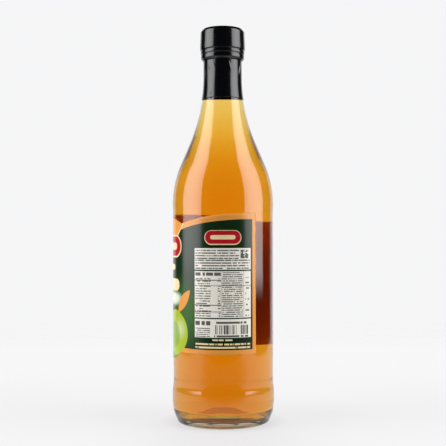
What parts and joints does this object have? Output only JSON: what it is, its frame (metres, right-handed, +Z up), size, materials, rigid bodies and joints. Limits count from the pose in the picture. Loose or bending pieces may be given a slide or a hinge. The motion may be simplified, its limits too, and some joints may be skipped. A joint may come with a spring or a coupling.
{
  "type": "vinegar bottle",
  "caption": "Tall round clear glass bottle of amber vinegar with a green and orange wrap label and a black capsule over its closed screw neck.",
  "frame": {"origin": "middle of the base, on the surface that the bottle stands on", "axes": "+Z up along the bottle's axis, -Y towards the middle of the front label"},
  "size_m": [0.067, 0.067, 0.2574],
  "materials": {
    "clear_glass": "clear flint glass, smooth, with fine mould lines near the foot",
    "amber_vinegar": "clear amber liquid, deeper in colour where the body is thick",
    "printed_label": "satin printed paper, dark green with an orange border and pale panels",
    "black_film": "glossy black shrink film with faint creases"
  },
  "bodies": {
    "root": {"glass_bottle": "clear_glass", "vinegar": "amber_vinegar", "label": "printed_label", "capsule": "black_film"}
  },
  "joints": []
}
